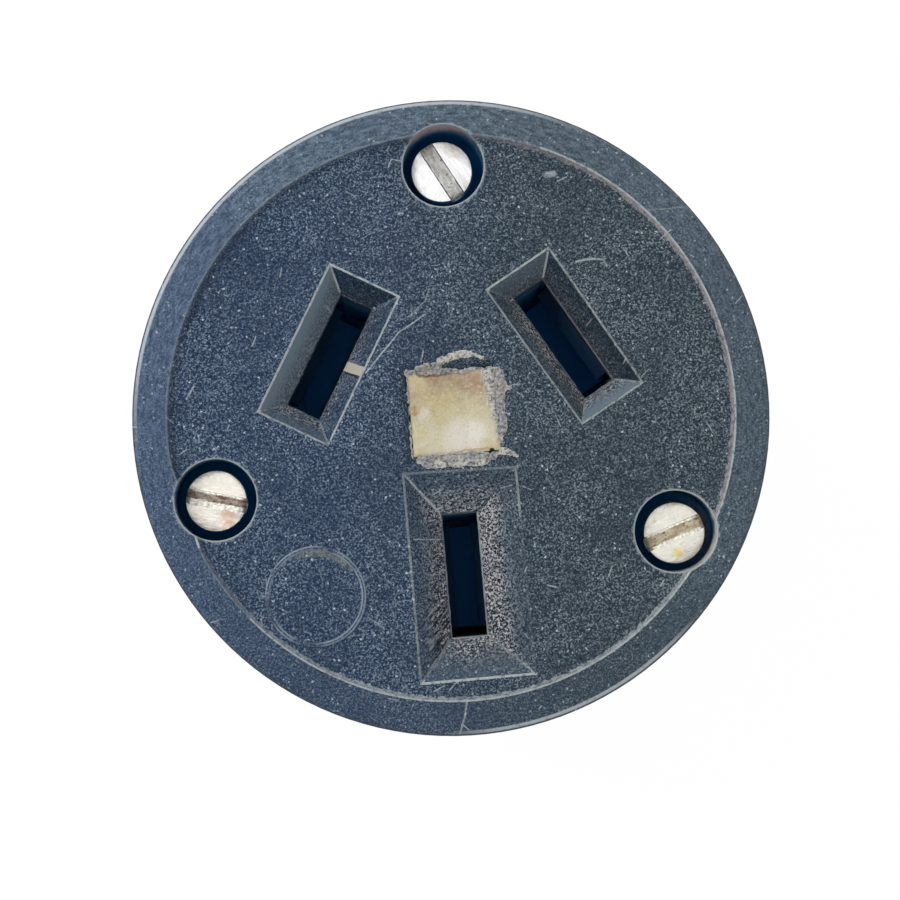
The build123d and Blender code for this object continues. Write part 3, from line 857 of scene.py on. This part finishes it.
# Sealing wax: poured hot over the square nut in the middle of the face, so that the screw behind can't turn.
# It is painted brown at the top, as painted shade under the top wall of the recess, going to cream below, and
# its crumbled skin sticks to the slopes of the recess.
wax_x, wax_y = (-2.42, 2.82), (-2.26, 2.70)
wax_level = 41.1
seal_middle = Vector((0.0, 0.3))
wax = new_sheet(
    "sealing_wax_poured", (90, 90), (sum(wax_x) / 2, sum(wax_y) / 2, wax_level),
    (wax_x[1] - wax_x[0], wax_y[1] - wax_y[0]),
)
bpy.ops.object.mode_set(mode="EDIT")
bpy.ops.mesh.select_mode(type="EDGE")
bpy.ops.mesh.select_all(action="SELECT")
bpy.ops.mesh.region_to_loop()
for drop, width in ((0.15, 4.98), (0.85, 4.96)):
    bpy.ops.mesh.extrude_edges_move(TRANSFORM_OT_translate={"value": (0, 0, -drop / 1000)})
    shape = bmesh.from_edit_mesh(wax.data)
    for vertex in shape.verts:
        if vertex.select:
            for axis in (0, 1):
                off = vertex.co[axis] * 1000 - seal_middle[axis]
                vertex.co[axis] = (seal_middle[axis] + max(-width / 2, min(width / 2, off))) / 1000
    bmesh.update_edit_mesh(wax.data)
bpy.ops.mesh.edge_face_add()
bpy.ops.object.mode_set(mode="OBJECT")
# Its top is lumpy, sinks at the edge and creeps up at the right
for vertex in wax.data.vertices:
    if vertex.co.z > (wax_level - 0.01) / 1000:
        at = vertex.co * 1000
        edge = min(at.x - wax_x[0], wax_x[1] - at.x, at.y - wax_y[0], wax_y[1] - at.y)
        lift = 0.07 * noise.noise(at * 0.8) + 0.025 * noise.noise(at * 3.0) + 0.012 * noise.noise(at * 9.0)
        lift += 0.42 * part_way((at.x - 1.0) / 1.8) - 0.14 * max(0.0, 1 - edge / 0.3) ** 2
        sway = (noise.noise(at * 1.7), noise.noise(at * 1.7 + Vector((9, 0, 0))))
        vertex.co += Vector((0.07 * sway[0], 0.07 * sway[1], lift)) / 1000

aged_wax, tree, place = mapped_material("aged_wax")
wavy = on_the_face(place, 0.7)
x, y, _ = parts(wavy)
# Brown towards the top as painted shade, cream towards the bottom
skin = blend(rise(y, -1.6, 2.5), (226, 218, 188), (178, 154, 112))
for spot, size, strength, tone in (
    ((-1.9, 2.3), 0.9, 0.7, (222, 204, 160)), ((-0.6, 0.9), 1.5, 0.6, (208, 192, 132)),
    ((-0.4, 0.1), 1.0, 0.6, (208, 200, 150)), ((1.0, 0.2), 1.3, 0.5, (216, 204, 156)),
    ((0.7, -1.3), 1.7, 0.9, (240, 235, 222)), ((1.4, -1.1), 0.8, 0.7, (244, 240, 230)),
    ((-1.55, 0.3), 0.55, 0.8, (232, 226, 208)), ((-2.0, -0.9), 0.8, 0.6, (214, 202, 150)),
    ((-2.2, 0.74), 0.2, 1.0, (176, 142, 44)), ((-2.2, 0.46), 0.2, 1.0, (176, 142, 44)),
    ((2.3, -1.8), 0.7, 0.7, (214, 198, 150)), ((1.7, 1.8), 0.75, 0.8, (168, 124, 88)),
    ((-0.4, 2.3), 1.1, 0.6, (150, 124, 94)), ((1.1, 2.2), 0.9, 0.6, (162, 132, 100)),
    ((-2.0, -2.0), 0.5, 0.6, (206, 192, 134)),
):
    skin = coat(skin, tone, spot_mask(wavy, (*spot, 0), size), strength)
mottle = clouds(place, 1.8, 5.0, 0.65)
grit = clouds(place, 6.5, 3.0, 0.7)
skin = coat(skin, (120, 100, 70), 0.12)
skin = coat(skin, (232, 228, 212), rise(mottle, 0.3, 0.72, 0.0, 0.3))
skin = coat(skin, (246, 242, 228), rise(grit, 0.56, 0.70, 0.0, 0.55))
skin = coat(skin, (142, 120, 88), rise(grit, 0.44, 0.30, 0.0, 0.4))

# The right side has lost its skin: it is grey, rough and speckled, and it ends in a slant
slant = sums("ADD", x, times(y, 0.17))
bare = rise(sums("ADD", slant, times(grit, 0.8)), 2.55, 3.05)
skin = coat(skin, blend(rise(grit, 0.36, 0.6), (98, 90, 88), (206, 202, 198)), bare)
# A painted shadow lies along the top, a brown line along the foot, and a painted shade for a pit in the lower
# right corner
shadow_line = (((-1.75, 2.62), (0.3, 2.56), 0.16, 0.75), ((0.3, 2.56), (1.3, 2.5), 0.1, 0.4))
skin = coat(skin, (84, 64, 50), marks(wavy, shadow_line))
skin = coat(skin, (190, 150, 112), marks(wavy, (((-0.3, -2.16), (2.2, -2.1), 0.12, 0.6),)))
pit_shade = spot_mask(place, (2.30, -2.20, 41.2), 0.22)
skin = coat(skin, (14, 14, 18), rise(pit_shade, 0.1, 0.4))
dress(tree, {
    "Base Color": skin, "Roughness": rise(mottle, 0.35, 0.7, 0.5, 0.7),
    "Subsurface Weight": 0.25, "Subsurface Radius": (1.0, 0.7, 0.4), "Subsurface Scale": 0.0003,
}, sums("ADD", mottle, times(grit, 0.5)), 0.4, 0.1)
finished(wax, aged_wax, 50)
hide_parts("sealing_wax")
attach(wax, "root")


# Crumbled skin of the wax: a ragged crust 0.12 mm thick that lies on the slopes round the wax and on the
# disc. It is grey and pinkish grit, paler along its edges.
def ground_level(at):
    """Height of the disc, or of the recess for the wax, in millimetres."""
    off = max(abs(at.x - seal_middle.x), abs(at.y - seal_middle.y))
    return min(face_level, 41.0 + 0.5 * max(0.0, off - 2.5) / 0.45)


def to_line(at, start, end):
    """Distance of a point from a line between two points."""
    reach, away = Vector(end) - Vector(start), at.xy - Vector(start)
    return (away - reach * part_way(away.dot(reach) / reach.length_squared)).length


# Where the crust lies: lines with its half width on them
crust_lines = (
    ((-2.40, 2.82), (2.6, 2.64), 0.16), ((-1.75, 2.95), (-0.5, 3.05), 0.22),
    ((-1.25, 3.1), (-0.5, 3.1), 0.2), ((-0.30, 3.34), (0.32, 3.54), 0.24),
    ((0.32, 3.54), (0.89, 3.66), 0.27), ((0.89, 3.66), (1.44, 3.62), 0.24),
    ((1.44, 3.66), (1.90, 3.46), 0.13), ((1.90, 3.46), (2.2, 3.3), 0.09),
    ((-0.5, 3.15), (-0.2, 3.4), 0.18), ((2.85, 2.25), (3.05, 1.5), 0.50),
    ((3.2, 1.5), (3.68, 1.42), 0.15), ((3.05, 1.3), (2.95, -0.2), 0.32),
    ((3.05, -0.3), (3.05, -1.0), 0.30), ((2.95, -1.0), (2.85, -1.8), 0.14),
    ((2.6, -2.25), (3.15, -2.4), 0.24), ((3.15, -2.4), (3.75, -2.72), 0.15),
    ((2.62, -2.3), (2.1, -2.62), 0.2), ((-2.05, -2.45), (-1.4, -2.65), 0.24),
    ((-1.6, -2.56), (1.8, -2.66), 0.45), ((1.8, -2.7), (2.3, -2.6), 0.25),
    ((-2.43, 2.75), (-2.52, -2.3), 0.07),
)
crust = new_sheet("wax_crust", (190, 200), (0.7, 0.45, face_level), (6.9, 7.4))
depth_in = crust.data.attributes.new("depth_in", "FLOAT", "POINT").data
for vertex in crust.data.vertices:
    at = vertex.co * 1000
    # Millimetres from the edge of the crust, with a ragged outline
    inside = max(half - to_line(at, start, end) for start, end, half in crust_lines)
    inside += 0.07 * noise.noise(at * 1.8) + 0.07 * noise.noise(at * 6.0)
    depth_in[vertex.index].value = inside
    height = 0.1 * max(-0.3, min(1.0, inside * 7)) * (1 + 0.5 * noise.noise(at * 8.0))
    vertex.co.z = (ground_level(at) + height) / 1000
bpy.ops.object.mode_set(mode="EDIT")
bpy.ops.mesh.select_mode(type="VERT")
bpy.ops.mesh.select_all(action="DESELECT")
shape = bmesh.from_edit_mesh(crust.data)
stored = shape.verts.layers.float["depth_in"]
for vertex in shape.verts:
    vertex.select_set(vertex[stored] < 0.0)
shape.select_flush_mode()
bmesh.update_edit_mesh(crust.data)
bpy.ops.mesh.delete(type="VERT")
bpy.ops.object.mode_set(mode="OBJECT")
thickened(crust, 0.12)

crumbled_wax, tree, place = mapped_material("crumbled_wax")
grit = clouds(place, 5.0, 4.0, 0.75)
pinkish = rise(clouds(place, 0.9), 0.4, 0.6)
grey_tone = blend(pinkish, (156, 158, 160), (168, 158, 152))
skin = blend(rise(grit, 0.36, 0.50), (62, 62, 76), grey_tone)
skin = coat(skin, (218, 214, 212), rise(grit, 0.54, 0.64, 0.0, 0.9))
edge_line = rise(painted(tree, "depth_in"), 0.10, 0.03)
skin = coat(skin, (206, 204, 198), edge_line, rise(grit, 0.38, 0.5, 0.2, 0.8))
for crumb, size in (
    ((3.0, -2.35), 0.6), ((3.75, -2.72), 0.35), ((0.7, 3.6), 0.9), ((1.7, 3.6), 0.6), ((-0.9, -2.95), 0.6),
    ((0.4, -3.0), 0.7), ((1.5, -3.0), 0.5), ((2.1, 3.35), 0.3), ((-0.2, 3.4), 0.4),
):
    crumbs = spot_mask(place, (*crumb, face_level), size)
    skin = coat(skin, (218, 215, 202), crumbs, rise(grit, 0.40, 0.54, 0.1, 0.75))
dress(tree, {"Base Color": skin, "Roughness": 0.85}, grit, 0.5, 0.1)
finished(crust, crumbled_wax, 60)
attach(crust, "root")


# Cord clamp: a strap of zinc-plated steel bent over the cord, and two round-head screws that draw it down
# into inserts in the neck. The plating is dull, with a little rust in patches.
clamp_steel, tree, place = mapped_material("clamp_steel")
spangle = wire(tree, "ShaderNodeTexVoronoi", {"Vector": place, "Scale": 1.4}).outputs["Distance"]
lines = clouds(vectors("MULTIPLY", place, (0.4, 3.0, 3.0)), 3.0, 4.0, 0.6)
metal = blend(rise(lines, 0.3, 0.7), (138, 142, 146), (186, 188, 190))
metal = coat(metal, (160, 156, 140), rise(spangle, 0.1, 0.6, 0.0, 0.25))
rust = rise(clouds(place, 0.9, 5.0, 0.7), 0.60, 0.70)
dress(tree, {
    "Base Color": coat(metal, (112, 76, 50), rust, 0.7),
    "Metallic": sums("SUBTRACT", 1.0, times(rust, 0.7)),
    "Roughness": rise(lines, 0.3, 0.7, 0.34, 0.5),
}, sums("ADD", lines, rust), 0.2, 0.05)
for node, width in (("clamp_saddle", 0.00018), ("clamp_screw_left", 0.00008), ("clamp_screw_right", 0.00008)):
    fitting = softened_copy(node, f"{node}_plated", ((width, 3, lambda at, along, convex: convex),))
    finished(fitting, clamp_steel)
    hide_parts(node)
    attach(fitting, "root")


# Inner fittings: contacts and inserts of brass, terminal screws, retaining screw and nut of plated steel, and
# a retaining plate of vulcanised fibre. They stand as the CAD made them, dulled by age. The contacts and the
# fibre plate are painted blue as painted light in the shade of the pockets, the contacts brighter towards
# their foot.
def dulled(name, deep, light, tarnish, metallic, roughness, scale, foot=None):
    """Old metal or fibre: two tones in fine noise, tarnish in clouds, and maybe another tone at its foot."""
    material, tree, place = mapped_material(name)
    fine = clouds(place, scale, 4.0, 0.65)
    tone = blend(rise(fine, 0.3, 0.7), deep, light)
    cloud = rise(clouds(place, scale * 0.2, 4.0, 0.6), 0.48, 0.68)
    tone = coat(tone, tarnish, cloud, 0.7)
    # A tone at the foot, brighter further down, is painted light
    if foot:
        tone = coat(tone, foot, rise(parts(place)[2], 36.2, 32.0, 0.0, 0.9))
    dress(tree, {
        "Base Color": tone, "Metallic": metallic,
        "Roughness": rise(fine, 0.3, 0.7, roughness, roughness + 0.2),
    }, fine, 0.3, 0.04)
    return material


old_brass = dulled("old_brass", (120, 88, 44), (176, 138, 78), (70, 52, 34), 1.0, 0.35, 3.0)
brass_in_painted_blue_light = dulled("brass_in_painted_blue_light", (10, 50, 80), (18, 64, 96), (8, 42, 70), 0.0, 0.7, 3.0, (54, 156, 234))
old_steel = dulled("old_steel", (132, 134, 136), (182, 182, 180), (100, 84, 70), 1.0, 0.36, 4.0)
fibre_in_painted_blue_light = dulled("fibre_in_painted_blue_light", (34, 92, 150), (46, 108, 166), (28, 82, 136), 0.0, 0.6, 6.0)
for material, kind, ends in (
    (old_brass, "body_insert", ("_top", "_left", "_right")), (old_brass, "clamp_insert", ("_left", "_right")),
    (brass_in_painted_blue_light, "contact", ("_left", "_right", "_lower")),
    (old_steel, "terminal_screw", ("_left", "_right", "_lower")), (old_steel, "retainer", ("_screw", "_nut")),
    (fibre_in_painted_blue_light, "retaining_plate", ("",)),
):
    for end in ends:
        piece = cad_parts[kind + end]
        piece.data.materials.clear()
        piece.data.materials.append(material)
